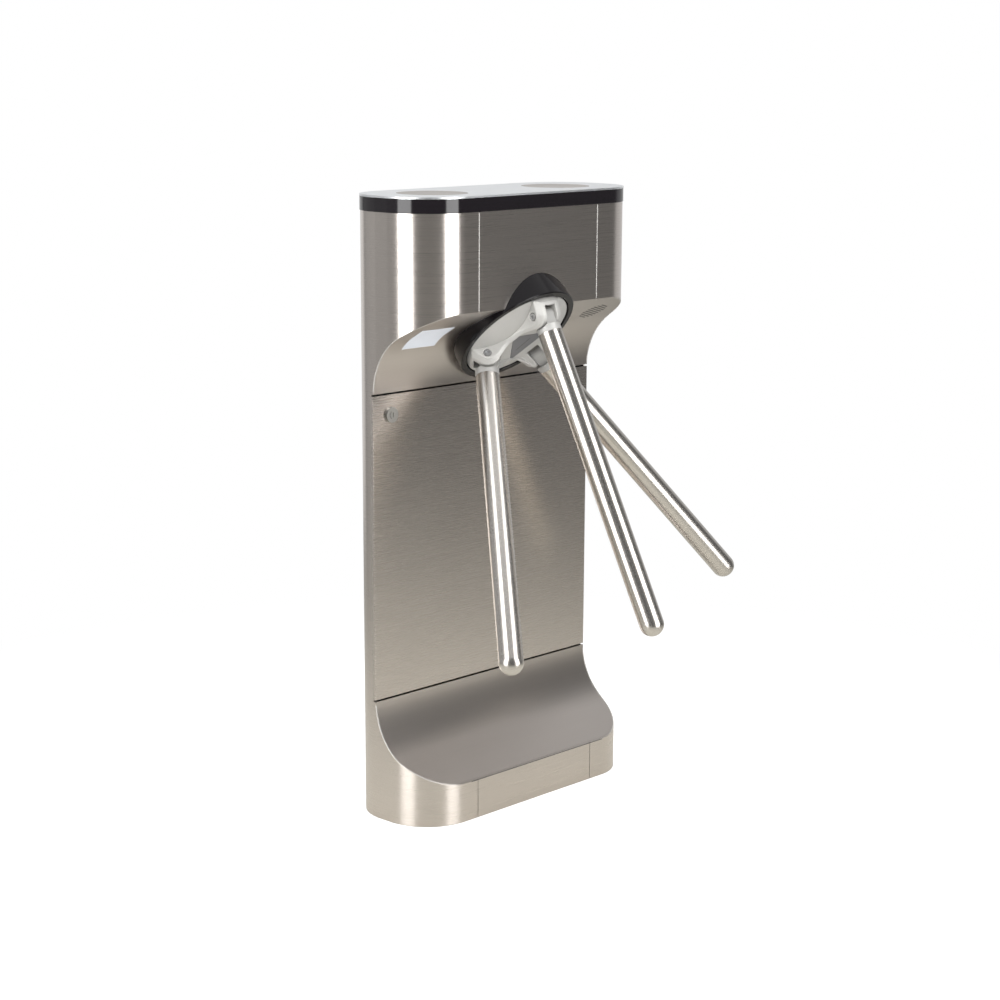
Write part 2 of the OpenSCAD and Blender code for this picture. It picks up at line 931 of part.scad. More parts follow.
module hub_shaft() {
    color("silver") on_hub() difference() {
        union() {
            disc(flange_r, -dish_back - flange_t, -dish_back);
            disc(shaft_d / 2, shaft_end, -dish_back);
        }
        disc(rod_r + run_gap, shaft_end - cut_over, cut_over);
        at_hub_bolts() disc(hub_bolt_r, -2 * cut_over, cut_over, small_fn);
    }
}

module index_wheel() {
    color("steelblue") in_hub() difference() {
        disc(wheel_d / 2, wheel_back, wheel_front);
        disc(shaft_d / 2, wheel_back - cut_over, wheel_front + cut_over);
        for (i = [0 : notch_count - 1]) rotate([0, 0, i * 360 / notch_count]) {
            box([wheel_d / 2 - notch_depth, -notch_w / 2, wheel_back - cut_over],
                [wheel_d, notch_w / 2, wheel_front + cut_over]);
            rotate([0, 0, 180 / notch_count]) translate([hole_ring_r, 0, 0])
                disc(hole_ring_hole_r, wheel_back - cut_over, wheel_front + cut_over, small_fn);
        }
    }
}

module shaft_nut() {
    color("gray") on_hub() difference() {
        disc(nut_r, shaft_end, wheel_back, 6);
        disc(shaft_d / 2, shaft_end - cut_over, wheel_back + cut_over);
    }
}

module release_rod() {
    color("silver") on_hub() {
        disc(rod_r, rod_end, release_front);
        disc(release_disc_r, release_front - release_disc_t, release_front);
    }
}

// Arms
// Frame of an arm, Z along the arm from its pivot
module on_arm(i) {
    on_hub() rotate([0, 0, arm_root_angles[i]]) translate([pivot_r, 0, pivot_h])
        rotate([0, arm_angles[i], 0]) children();
}

module arm_fitting(i) {
    inner_r = arm_r - arm_wall - run_gap;
    color("silver") on_arm(i) difference() {
        union() {
            rotate([90, 0, 0])
                cylinder(r = knuckle_r, h = tongue_w, center = true, $fn = round_fn);
            box([-tongue_t / 2, -tongue_w / 2, 0], [tongue_t / 2, tongue_w / 2, tube_start]);
            difference() {
                disc(arm_r, neck_start, tube_start);
                rotate([90, 0, 0])
                    cylinder(r = ear_r + saddle_gap, h = 2 * arm_d, center = true, $fn = round_fn);
            }
            disc(inner_r, tube_start, tube_start + spigot_len);
        }
        rotate([90, 0, 0])
            cylinder(r = pin_d / 2 + run_gap, h = 2 * tongue_w, center = true, $fn = small_fn);
    }
}

// Closed tube with a domed end
module domed(r, z0, z1) {
    disc(r, z0, z1);
    translate([0, 0, z1]) sphere(r, $fn = round_fn);
}

module arm_tube(i) {
    straight = arm_len - arm_r;
    color("lightgray") on_arm(i) difference() {
        domed(arm_r, tube_start, straight);
        domed(arm_r - arm_wall, tube_start - cut_over, straight);
    }
}

// Lock of the service panel
module in_lock() translate([-lock_x, panel_y, lock_z]) rotate([-90, 0, 0]) children();

module lock_barrel() {
    color("silver") in_lock() difference() {
        union() {
            disc(bezel_d / 2, -bezel_t, 0);
            disc(barrel_r, 0, barrel_len);
        }
        disc(plug_r + run_gap, -cut_over, barrel_len + cut_over);
    }
}

module lock_plug() {
    color("lightgray") in_lock() difference() {
        disc(plug_r, -bezel_t - plug_front, barrel_len + plug_back);
        box([-key_w / 2, -key_h / 2, -bezel_t - plug_front - cut_over],
            [key_w / 2, key_h / 2, -bezel_t - plug_front + key_depth]);
    }
}

module lock_cam() {
    front = barrel_len + plug_back;
    color("gray") in_lock() {
        box([-cam_len, -cam_w / 2, front], [0, cam_w / 2, front + cam_t]);
        disc(cam_w / 2, front, front + cam_t);
    }
}

module lock_strike() {
    front = panel_y + barrel_len + plug_back - fit_gap - strike_t;
    color("gray") intersection() {
        prism(sheet_t, panel_z0, panel_z1);
        box([-cabinet_w / 2, front, lock_z - strike_h / 2],
            [-cabinet_w / 2 + strike_reach, front + strike_t, lock_z + strike_h / 2]);
    }
}

// Electrics
module speaker() {
    color("black") on_slope(grille_x, grille_along) difference() {
        disc(speaker_r, sheet_t + fit_gap, sheet_t + fit_gap + speaker_t);
        disc(speaker_cone_r, 0, sheet_t + fit_gap + speaker_t / 2);
    }
}

module on_equipment(x, z) {
    translate([x, post_y + post_w - equipment_t, equipment_z0 + z]) children();
}

module power_supply() {
    color("silver") on_equipment(supply_x, board_lift)
        box([-supply_size[0] / 2, -supply_size[1], 0], [supply_size[0] / 2, 0, supply_size[2]]);
}

module board_corners() {
    for (x = [-1, 1], z = [-1, 1]) translate([
        x * (board_size[0] / 2 - 2 * standoff_r),
        0,
        board_size[2] / 2 + z * (board_size[2] / 2 - 4 * standoff_r)
    ]) rotate([90, 0, 0]) children();
}

module board_standoffs() {
    color("gold") on_equipment(board_x, board_lift) board_corners()
        cylinder(r = standoff_r, h = board_gap, $fn = small_fn);
}

module control_board() {
    face = -board_gap - board_size[1];
    color("darkgreen") on_equipment(board_x, board_lift) {
        box([-board_size[0] / 2, face, 0], [board_size[0] / 2, -board_gap, board_size[2]]);
        for (i = [0 : relay_count - 1])
            translate([-board_size[0] / 2 + relay_size[0], face, relay_size[2] + i * relay_pitch])
                box([-relay_size[0] / 2, -relay_size[1], 0], [relay_size[0] / 2, 0, relay_size[2]]);
        translate([0, face, board_size[2] / 2])
            box([-chip_size[0] / 2, -chip_size[1], 0], [chip_size[0] / 2, 0, chip_size[2]]);
        translate([board_size[0] / 2 - socket_size[0], face, board_size[2] / 4])
            box([-socket_size[0] / 2, -socket_size[1], 0], [socket_size[0] / 2, 0, socket_size[2]]);
    }
}

module terminal_block() {
    color("darkorange") on_equipment(board_x, terminal_lift) difference() {
        box([-terminal_size[0] / 2, -terminal_size[1], 0], [terminal_size[0] / 2, 0, terminal_size[2]]);
        for (i = [0.5 : terminal_count])
            translate([-terminal_size[0] / 2 + i * terminal_size[0] / terminal_count, 0, 0])
                box([-terminal_slot[0] / 2, -terminal_size[1] - cut_over, terminal_size[2] / 4],
                    [terminal_slot[0] / 2, -terminal_size[1] + terminal_slot[1],
                        terminal_size[2] / 4 + terminal_slot[2]]);
    }
}

base_plate();
cable_grommet();
left_cheek();
right_cheek();
back_panel();
front_fascia();
plinth_front();
upper_cowl();
lower_cowl();
service_panel();
top_tray();
cap_band();
top_plate();
reader_window(-1);  // reader_window_left
reader_window(1);  // reader_window_right
reader_units();
blank_plate();
hub_collar();
drive_plate();
frame_posts();
side_gussets();
motion_damper();
bearing_housing();
bearing(flange_back - bearing_w);  // front_bearing
bearing(housing_back);  // rear_bearing
housing_screws();
rear_pillars();
rear_bracket();
lock_solenoid(-1);  // left_lock_solenoid
lock_solenoid(1);  // right_lock_solenoid
drop_solenoid();
position_sensor();
equipment_plate();
power_supply();
control_board();
board_standoffs();
terminal_block();
speaker();
lock_barrel();
lock_strike();
lock_plug();
lock_cam();
lock_bolt(-1);  // left_lock_bolt
lock_bolt(1);  // right_lock_bolt
hub_dish();
hub_star();
central_cap();
hub_screws();
hub_bolts();
pivot_pins();
hub_shaft();
index_wheel();
shaft_nut();
release_rod();
arm_fitting(0);  // arm_1_fitting
arm_tube(0);  // arm_1_tube
arm_fitting(1);  // arm_2_fitting
arm_tube(1);  // arm_2_tube
arm_fitting(2);  // arm_3_fitting
arm_tube(2);  // arm_3_tube
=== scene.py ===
import json
import math

import bmesh
import bpy
from mathutils import Matrix, Vector

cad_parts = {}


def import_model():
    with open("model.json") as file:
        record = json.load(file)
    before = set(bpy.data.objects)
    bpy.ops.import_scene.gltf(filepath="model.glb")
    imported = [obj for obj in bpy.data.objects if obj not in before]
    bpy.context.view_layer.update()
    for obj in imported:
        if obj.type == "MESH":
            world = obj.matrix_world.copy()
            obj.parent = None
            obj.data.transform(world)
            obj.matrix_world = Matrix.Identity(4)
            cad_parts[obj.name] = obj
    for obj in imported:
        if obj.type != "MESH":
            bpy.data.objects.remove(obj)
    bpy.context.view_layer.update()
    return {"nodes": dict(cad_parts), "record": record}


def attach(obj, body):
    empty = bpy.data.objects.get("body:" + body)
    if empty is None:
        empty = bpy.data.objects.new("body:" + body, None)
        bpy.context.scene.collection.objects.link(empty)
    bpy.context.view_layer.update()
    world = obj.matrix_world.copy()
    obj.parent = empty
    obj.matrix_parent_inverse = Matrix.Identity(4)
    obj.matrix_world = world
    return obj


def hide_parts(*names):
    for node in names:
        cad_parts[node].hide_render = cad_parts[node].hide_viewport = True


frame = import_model()
nodes = frame["nodes"]


# Places of the hub and the arms, as in the part's source, in metres and degrees
HUB = Vector((0.0, -0.050, 0.755))
TILT = math.radians(45)
HUB_X = Vector((1, 0, 0))
HUB_Y = Vector((0, -math.sin(TILT), math.cos(TILT)))
AXIS = Vector((0, -math.cos(TILT), -math.sin(TILT)))
HUB_TURN = 2.2
ROOTS = (210, 90, 330)
SPREADS = (26.5, -19, 43)
PIVOT_R, PIVOT_H = 0.067, 0.015

# Places on the cabinet: planes of the front, flats of the ends and levels of the recess
FRONT_Y = -0.0950
HALF_FLAT = 0.135
HOUSING_LOW, HOUSING_HIGH = 0.8075, 0.955
PLINTH_HIGH = 0.0630
RECESS_LOW, RECESS_HIGH = 0.192, 0.6775
BEND_R, BEND_Y, BEND_SWEEP = 0.106, -0.0846, math.radians(60)
COWL_SLOPE = math.radians(30)
END_X, END_Y, END_R, SHEET = 0.166, 0.013, 0.082, 0.002


def placed(x, y, z, origin):
    """Matrix with the given axes as columns."""
    return Matrix((
        (x.x, y.x, z.x, origin.x),
        (x.y, y.y, z.y, origin.y),
        (x.z, y.z, z.z, origin.z),
        (0, 0, 0, 1)))


def turned(degrees, axis):
    return Matrix.Rotation(math.radians(degrees), 4, axis)


def hub_matrix():
    return placed(HUB_X, HUB_Y, AXIS, HUB) @ turned(HUB_TURN, "Z")


def arm_matrix(i):
    return (hub_matrix() @ turned(ROOTS[i], "Z") @ Matrix.Translation((PIVOT_R, 0, PIVOT_H))
            @ turned(SPREADS[i], "Y"))


def new_object(name, data):
    """An object in the scene's own collection."""
    ob = bpy.data.objects.new(name, data)
    bpy.context.scene.collection.objects.link(ob)
    return ob


def side_word(side):
    return "left" if side < 0 else "right"


# Node helpers, for materials and the world alike
def emptied(owner):
    owner.use_nodes = True
    owner.node_tree.nodes.clear()
    return owner


def add(m, kind, values=None, **settings):
    """A node with its settings and the values of its inputs."""
    n = m.node_tree.nodes.new(kind)
    for k, v in settings.items():
        setattr(n, k, v)
    for k, v in (values or {}).items():
        n.inputs[k].default_value = v
    return n


def link(m, a, b):
    m.node_tree.links.new(a, b)


def mixed(m, share, first, second):
    """Shader that goes from the first to the second with the share."""
    mix = add(m, "ShaderNodeMixShader")
    link(m, share, mix.inputs["Fac"])
    link(m, first.outputs[0], mix.inputs[1])
    link(m, second.outputs[0], mix.inputs[2])
    return mix


def principled(name):
    m = emptied(bpy.data.materials.new(name))
    out = add(m, "ShaderNodeOutputMaterial")
    p = add(m, "ShaderNodeBsdfPrincipled")
    link(m, p.outputs[0], out.inputs[0])
    return m, p


def object_noise(m, scale, stretch, detail, rough):
    """Noise over the object's own coordinates, stretched along some axes."""
    tc = add(m, "ShaderNodeTexCoord")
    mp = add(m, "ShaderNodeMapping", {"Scale": stretch})
    nz = add(m, "ShaderNodeTexNoise", {"Scale": scale, "Detail": detail, "Roughness": rough})
    link(m, tc.outputs["Object"], mp.inputs["Vector"])
    link(m, mp.outputs["Vector"], nz.inputs["Vector"])
    return nz.outputs["Fac"]


def spread(m, value, low, high):
    """Maps the middle of a noise, where most of it lies, to a range."""
    mr = add(m, "ShaderNodeMapRange",
             {"From Min": 0.3, "From Max": 0.7, "To Min": low, "To Max": high})
    link(m, value, mr.inputs["Value"])
    return mr.outputs["Result"]


def tinted(m, value, colour, amount):
    """A colour that varies by a small share of itself."""
    mx = add(m, "ShaderNodeMix", {
        "A": [c * (1 - amount) for c in colour] + [1],
        "B": [min(1, c * (1 + amount)) for c in colour] + [1]}, data_type="RGBA")
    link(m, spread(m, value, 0, 1), mx.inputs["Factor"])
    return mx.outputs["Result"]


BUMP_DEPTH = 0.0002
LEAST_ROUGH = 0.02


def surface(m, p, bump_value, strength, radius):
    """Rounded edges with a fine bump on top of them."""
    bv = add(m, "ShaderNodeBevel", {"Radius": radius}, samples=4)
    bp = add(m, "ShaderNodeBump", {"Strength": strength, "Distance": BUMP_DEPTH})
    link(m, bump_value, bp.inputs["Height"])
    link(m, bv.outputs["Normal"], bp.inputs["Normal"])
    link(m, bp.outputs["Normal"], p.inputs["Normal"])


def brushed(name, colour, stretch, tangent, rough, aniso, radius=0.0006, amount=0.05,
            bump=0.12, swing=0.045):
    """Stainless steel with a grain. A tangent of None follows the section of a cowl."""
    broad_share = 0.35
    m, p = principled(name)
    fine = object_noise(m, scale=1.0, stretch=stretch, detail=4.0, rough=0.7)
    broad = object_noise(m, scale=3.0, stretch=(1.0, 1.0, 1.6), detail=2.0, rough=0.5)
    both = add(m, "ShaderNodeMix", {"Factor": broad_share}, data_type="FLOAT")
    link(m, fine, both.inputs["A"])
    link(m, broad, both.inputs["B"])
    link(m, tinted(m, both.outputs["Result"], colour, amount), p.inputs["Base Color"])
    link(m, spread(m, fine, rough - swing, rough + swing), p.inputs["Roughness"])
    p.inputs["Metallic"].default_value = 1.0
    p.inputs["Anisotropic"].default_value = aniso
    if tangent is None:
        geo = add(m, "ShaderNodeNewGeometry")
        cr = add(m, "ShaderNodeVectorMath", {1: (1, 0, 0)}, operation="CROSS_PRODUCT")
        link(m, geo.outputs["Normal"], cr.inputs[0])
        link(m, cr.outputs["Vector"], p.inputs["Tangent"])
    else:
        vt = add(m, "ShaderNodeVectorTransform", {"Vector": tangent}, vector_type="VECTOR",
                 convert_from="OBJECT", convert_to="WORLD")
        link(m, vt.outputs["Vector"], p.inputs["Tangent"])
    surface(m, p, fine, bump, radius)
    return m


def coated(name, colour, rough, metallic=0.0, scale=900.0, strength=0.1, amount=0.06,
           radius=0.0005, swing=0.05, specular=0.5):
    """Paint, plastic, rubber or a cast or machined surface with a fine texture."""
    m, p = principled(name)
    fine = object_noise(m, scale=scale, stretch=(1, 1, 1), detail=3.0, rough=0.6)
    broad = object_noise(m, scale=14.0, stretch=(1, 1, 1), detail=3.0, rough=0.5)
    link(m, tinted(m, broad, colour, amount), p.inputs["Base Color"])
    link(m, spread(m, fine, max(LEAST_ROUGH, rough - swing), rough + swing),
         p.inputs["Roughness"])
    p.inputs["Metallic"].default_value = metallic
    p.inputs["Specular IOR Level"].default_value = specular
    surface(m, p, fine, strength, radius)
    return m


# Finishes
STEEL = (0.645, 0.595, 0.555)
# Painted shade: the cowls' copy of the sheet steel is darker, for the dimmer reflection on their
# slopes
SHADED_COWL_STEEL = (0.585, 0.54, 0.505)
ARM_STEEL = (0.57, 0.54, 0.505)
BLACK = (0.03, 0.03, 0.03)
UPRIGHT, INWARDS = (0, 0, 1), (0, 1, 0)

# How fine the grain is along each axis
SHEET_LINES = (6.0, 6.0, 2600.0)
COWL_LINES = (6.0, 2600.0, 2600.0)
TOP_LINES = (8.0, 900.0, 900.0)
ARM_GRAIN = (1900.0, 1900.0, 1900.0)

mats = {
    "sheet": brushed("sheet_steel", STEEL, SHEET_LINES, UPRIGHT, rough=0.30, aniso=0.85),
    "panel": brushed("panel_steel", STEEL, SHEET_LINES, UPRIGHT, rough=0.265, aniso=0.87,
                     bump=0.04, swing=0.025),
    "cowl": brushed("shaded_cowl_steel", SHADED_COWL_STEEL, COWL_LINES, None, rough=0.32, aniso=0.75),
    "top_sheet": brushed("top_steel", (0.80, 0.82, 0.84), TOP_LINES, INWARDS, rough=0.34,
                         aniso=0.3, amount=0.02),
    "black_gloss": coated("black_gloss", (0.009, 0.007, 0.009), rough=0.09, strength=0.01,
                          radius=0.0015, swing=0.03),
    "collar": coated("collar_black", (0.006, 0.005, 0.006), rough=0.09, strength=0.01,
                     radius=0.0015, swing=0.03, specular=0.22),
    "window": coated("reader_window", (0.19, 0.17, 0.155), rough=0.32, strength=0.05,
                     amount=0.16),
    "pale_plate": coated("pale_plate", (0.78, 0.82, 0.88), rough=0.35, scale=400.0, strength=0.03,
                         amount=0.02),
    "casting": coated("casting", (0.50, 0.492, 0.47), rough=0.5, metallic=0.3, scale=1400.0,
                      strength=0.12, amount=0.04, radius=0.0012),
    "fitting": coated("fitting", (0.43, 0.425, 0.41), rough=0.46, metallic=0.3, scale=1400.0,
                      strength=0.1, amount=0.04, radius=0.001),
    "dark_cap": coated("dark_cap", (0.17, 0.17, 0.18), rough=0.4, metallic=0.3, strength=0.05,
                       radius=0.0015),
    "bright_steel": coated("bright_steel", (0.34, 0.335, 0.32), rough=0.34, metallic=0.95,
                           strength=0.03),
    "machined_steel": coated("machined_steel", (0.55, 0.55, 0.56), rough=0.3, metallic=1.0),
    "frame_paint": coated("frame_paint", (0.20, 0.22, 0.24), rough=0.5, strength=0.25),
    "coil_paint": coated("coil_paint", (0.45, 0.10, 0.08), rough=0.4, strength=0.15),
    "zinc": coated("zinc", (0.55, 0.55, 0.50), rough=0.42, metallic=0.8, strength=0.15,
                   amount=0.1),
    "brass": coated("brass", (0.75, 0.58, 0.28), rough=0.3, metallic=1.0, strength=0.08),
    "board": coated("board", (0.03, 0.20, 0.08), rough=0.4),
    "terminal": coated("terminal", (0.06, 0.30, 0.10), rough=0.45),
    "black_plastic": coated("black_plastic", BLACK, rough=0.5, strength=0.2),
    "grommet": coated("grommet", BLACK, rough=0.75, strength=0.3),
    # Pale, barely metallic finish for cut and bent sheet edges, painting the bright reflection
    # along them
    "edge_highlight": coated("edge_highlight", (0.58, 0.565, 0.54), rough=0.45, metallic=0.2, scale=600.0,
                       strength=0.05, amount=0.04, radius=0.0002),
}
for i in range(3):
    along = arm_matrix(i).to_3x3() @ Vector((0, 0, 1))
    mats["arm_%d_tube" % (i + 1)] = brushed(
        "arm_steel_%d" % (i + 1), ARM_STEEL, ARM_GRAIN, tuple(along), rough=0.27, aniso=0.5,
        radius=0.0008, amount=0.02, bump=0.008, swing=0.008)

# Nodes whose finish differs from that of their slot
OWN_FINISH = {
    "service_panel": "panel", "upper_cowl": "cowl", "lower_cowl": "cowl",
    "hub_collar": "collar",
    "arm_1_fitting": "fitting", "arm_2_fitting": "fitting", "arm_3_fitting": "fitting",
    "arm_1_tube": "arm_1_tube", "arm_2_tube": "arm_2_tube", "arm_3_tube": "arm_3_tube",
}
slots = {s["node"]: s["material_slot"] for s in frame["record"]["subparts"]}
for name, obj in nodes.items():
    finish = mats[OWN_FINISH.get(name, slots[name])]
    if obj.material_slots:
        for s in obj.material_slots:
            s.material = finish
    else:
        obj.data.materials.append(finish)


# Pieces that only the picture needs
def strip(name, body, rows, half, lift, finish):
    """A low folded strip. Each row has a point, the way across and the way out;
    half is half its width and lift is how far its middle stands out."""
    flat_share = 0.8
    me = bpy.data.meshes.new(name)
    bm = bmesh.new()
    lines = []
    for point, across, out in rows:
        p, s, o = Vector(point), Vector(across).normalized(), Vector(out).normalized()
        lines.append([bm.verts.new(p - s * half),
                      bm.verts.new(p - s * half * flat_share + o * lift),
                      bm.verts.new(p + s * half * flat_share + o * lift),
                      bm.verts.new(p + s * half)])
    for a, b in zip(lines, lines[1:]):
        for k in range(3):
            bm.faces.new((a[k], b[k], b[k + 1], a[k + 1]))
    bmesh.ops.recalc_face_normals(bm, faces=bm.faces)
    bm.to_mesh(me)
    bm.free()
    ob = new_object(name, me)
    me.materials.append(mats[finish])
    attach(ob, body)
    return ob


def straight(start, end, steps, across, out):
    """Rows of a strip from one point to another."""
    a, b = Vector(start), Vector(end)
    return [(a + (b - a) * (k / steps), across, out) for k in range(steps + 1)]


EDGE_HALF, EDGE_LIFT = 0.0009, 0.0002
JOINT_HALF, JOINT_LIFT = 0.0006, 0.00005
GROOVE_HALF, GROOVE_LIFT = 0.0006, 0.00008


# Painted highlights: pale strips along the two upright seams of the housing's front, standing in
# for the bright reflection on their bent edges
SEAM_STEPS = 24


def seam_edge_highlights():
    for side in (-1, 1):
        x = side * HALF_FLAT
        rows = straight((x, FRONT_Y, HOUSING_LOW), (x, FRONT_Y, HOUSING_HIGH), SEAM_STEPS,
                        (1, 0, 0), (0, -1, 0))
        strip("seam_edge_highlight_" + side_word(side), "cabinet", rows, EDGE_HALF, EDGE_LIFT, "edge_highlight")


seam_edge_highlights()


# The hub's crown with smooth shoulders, where the part's source has small steps
CREST_AT, CREST_R = 0.157, 0.117
MIDDLE_FROM = 0.0013
FOOT_H = 0.0035
SLOT_HALF, SLOT_FROM = 0.0115, 0.038
SEAT_R, SEAT_REACH = 0.0074, 0.040
CROWN_VOXEL = 0.00075
CROWN_ROUNDS = 26


def on_shoulder(p):
    """Tells whether a point in the hub's own frame may be smoothed: not in the flat
    middle, at the foot, along a tongue's slot or in a screw's seat."""
    past_crest = min(math.dist((p.x, p.y), (CREST_AT * math.cos(a), CREST_AT * math.sin(a)))
                     for a in (math.radians(r + 60) for r in ROOTS)) - CREST_R
    if past_crest > MIDDLE_FROM or p.z < FOOT_H:
        return False
    for a in (math.radians(r) for r in ROOTS):
        outwards = p.x * math.cos(a) + p.y * math.sin(a)
        sideways = abs(-p.x * math.sin(a) + p.y * math.cos(a))
        if sideways < SLOT_HALF and outwards > SLOT_FROM:
            return False
        from_pin = math.dist((outwards, p.z), (PIVOT_R, PIVOT_H))
        if from_pin < SEAT_R and sideways < SEAT_REACH and outwards > 0:
            return False
    return True


def smooth_crown():
    node = nodes["hub_star"]
    coarse = node.data.copy()
    coarse.materials.clear()
    ob = new_object("smooth_crown", coarse)
    ob.matrix_world = node.matrix_world.copy()
    mod = ob.modifiers.new("remesh", "REMESH")
    mod.mode = "VOXEL"
    mod.voxel_size = CROWN_VOXEL
    bpy.context.view_layer.update()
    fine = bpy.data.meshes.new_from_object(ob.evaluated_get(
        bpy.context.evaluated_depsgraph_get()))
    ob.modifiers.clear()
    ob.data = fine
    bm = bmesh.new()
    bm.from_mesh(fine)
    to_hub = hub_matrix().inverted() @ ob.matrix_world
    chosen = [v for v in bm.verts if on_shoulder(to_hub @ v.co)]
    for _ in range(CROWN_ROUNDS):
        bmesh.ops.smooth_vert(bm, verts=chosen, factor=0.5, use_axis_x=True, use_axis_y=True,
                              use_axis_z=True)
    for f in bm.faces:
        f.smooth = True
    bm.to_mesh(fine)
    bm.free()
    fine.materials.append(mats["casting"])
    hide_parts("hub_star")
    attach(ob, "hub")


smooth_crown()


# Dark joint between the lower cowl and the plinth's front
JOINT_LEFT, JOINT_RIGHT, JOINT_Y = -0.150, 0.166, -0.0951
JOINT_STEPS = 40


def plinth_joint():
    rows = straight((JOINT_LEFT, JOINT_Y, PLINTH_HIGH), (JOINT_RIGHT, JOINT_Y, PLINTH_HIGH),
                    JOINT_STEPS, (0, 0, 1), (0, -1, 0))
    strip("plinth_joint", "cabinet", rows, JOINT_HALF, JOINT_LIFT, "black_plastic")


plinth_joint()


# Fine groove across the hub's cap, just above its face
GROOVE_START, GROOVE_END = (-0.0045, -0.0155, 0.01602), (0.0072, 0.0108, 0.01602)
GROOVE_STEPS = 24


def cap_groove():
    a, b = (hub_matrix() @ Vector(end) for end in (GROOVE_START, GROOVE_END))
    rows = straight(a, b, GROOVE_STEPS, (b - a).normalized().cross(AXIS), AXIS)
    ob = strip("cap_groove", "hub", rows, GROOVE_HALF, GROOVE_LIFT, "black_plastic")


cap_groove()


# Painted shade: black discs in the speaker grille's holes, just under the slope that they go
# through, standing in for the shade inside the holes
GRILLE_X, GRILLE_Y, GRILLE_Z = 0.182, -0.0316, 0.7693
GRILLE_UP = 0.019
GRILLE_TURN = 24
GRILLE_R, HOLE_PITCH, SHADE_R = 0.026, 0.0052, 0.00165
SHADE_RIM, SHADE_MIDDLE = -0.0001, 0.0006
SHADE_SIDES = 16


def grille_shade():
    me = bpy.data.meshes.new("grille_shade")
    bm = bmesh.new()
    place = (Matrix.Translation((GRILLE_X, GRILLE_Y - GRILLE_UP * math.cos(COWL_SLOPE),
                                 GRILLE_Z + GRILLE_UP * math.sin(COWL_SLOPE)))
             @ Matrix.Rotation(-COWL_SLOPE, 4, "X") @ turned(GRILLE_TURN, "Z"))
    reach = round(GRILLE_R / HOLE_PITCH)
    turns = [math.radians(360 / SHADE_SIDES * k) for k in range(SHADE_SIDES)]
    for i in range(-reach, reach + 1):
        for j in range(-reach, reach + 1):
            if math.hypot(i, j) * HOLE_PITCH < GRILLE_R:
                x, y = i * HOLE_PITCH, j * HOLE_PITCH
                rim = [bm.verts.new(place @ Vector((
                    x + SHADE_R * math.cos(t), y + SHADE_R * math.sin(t), SHADE_RIM)))
                    for t in turns]
                mid = bm.verts.new(place @ Vector((x, y, SHADE_MIDDLE)))
                for a, b in zip(rim, rim[1:] + rim[:1]):
                    bm.faces.new((a, b, mid))
    bm.to_mesh(me)
    bm.free()
    ob = new_object("grille_shade", me)
    # The black finish paints the shade inside the holes
    me.materials.append(mats["black_plastic"])
    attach(ob, "cabinet")


grille_shade()


# Cut edges of the end sheets along both cowls, as pale strips that paint the bright reflection
# along them
FIRST_TURN, TURNS, SLOPE_STEPS = 2, 32, 24
SLOPE_END_Y = -0.0948
EDGE_INSET, EDGE_GAP = 0.0002, 0.00005


def end_x(y, inset):
    """X of a rounded end at a depth, inset from its outside."""
    r = END_R - inset
    past = max(0.0, abs(y) - END_Y)
    return END_X + math.sqrt(max(0.0, r * r - past * past))


def cowl_path():
    """Points of the upper cowl's section and the directions out of it."""
    path = []
    for k in range(FIRST_TURN, TURNS + 1):
        a = BEND_SWEEP * k / TURNS
        path.append((BEND_Y + BEND_R * math.cos(a), RECESS_HIGH + BEND_R * math.sin(a),
                     -math.cos(a), -math.sin(a)))
    y0, z0, ny, nz = path[-1]
    for k in range(1, SLOPE_STEPS + 1):
        forward = (SLOPE_END_Y - y0) * k / SLOPE_STEPS
        path.append((y0 + forward, z0 - forward * math.tan(COWL_SLOPE), ny, nz))
    return path


def cowl_edge_highlights():
    for side in (-1, 1):
        for level in ("up", "low"):
            rows = []
            for y, z, ny, nz in cowl_path():
                if level == "low":
                    z, nz = RECESS_LOW + RECESS_HIGH - z, -nz
                outer = Vector((side * end_x(y, EDGE_INSET), y, z))
                inner = Vector((side * end_x(y, SHEET), y, z))
                out = Vector((0, ny, nz))
                rows.append(((outer + inner) / 2 + out * EDGE_GAP, outer - inner, out))
            strip("cut_edge_%s_%s" % (side_word(side), level), "cabinet", rows, EDGE_HALF,
                  EDGE_LIFT, "edge_highlight")


cowl_edge_highlights()


# Camera, solved from the photo's edges
VIEW_AZ, VIEW_EL, VIEW_ROLL = -46.65089504, 13.43676054, 0.25666939
TARGET = Vector((0.014305, 0.0, 0.34317))
DISTANCE = 3.6237
SENSOR, LENS, SHIFT_Y, CLIP_END = 36, 79.63, 0.08303, 60


def camera():
    az, el, roll = (math.radians(a) for a in (VIEW_AZ, VIEW_EL, VIEW_ROLL))
    back = Vector((math.sin(az) * math.cos(el), -math.cos(az) * math.cos(el), math.sin(el)))
    right = (-back).cross(Vector((0, 0, 1))).normalized()
    up = right.cross(-back)
    data = bpy.data.cameras.new("camera")
    cam = new_object("camera", data)
    cam.matrix_world = placed(math.cos(roll) * right + math.sin(roll) * up,
                              -math.sin(roll) * right + math.cos(roll) * up,
                              back, TARGET + back * DISTANCE)
    data.sensor_width = SENSOR
    data.lens = LENS
    data.shift_y = SHIFT_Y
    data.clip_end = CLIP_END
    bpy.context.scene.camera = cam


camera()


# Floor
FLOOR_R, FLOOR_DROP = 14, 0.0006
FLOOR_PALE = (0.84, 0.84, 0.84, 1)
FLOOR_GLOW = 0.42
WHITE_FROM, WHITE_TO = 0.55, 1.35
DARK_FROM, DARK_TO = 0.4, 2.2
MIRRORED_NEAR, MIRRORED_FAR = (0.66, 0.645, 0.585, 1), (0.15, 0.148, 0.14, 1)
WHITE = (1, 1, 1, 1)


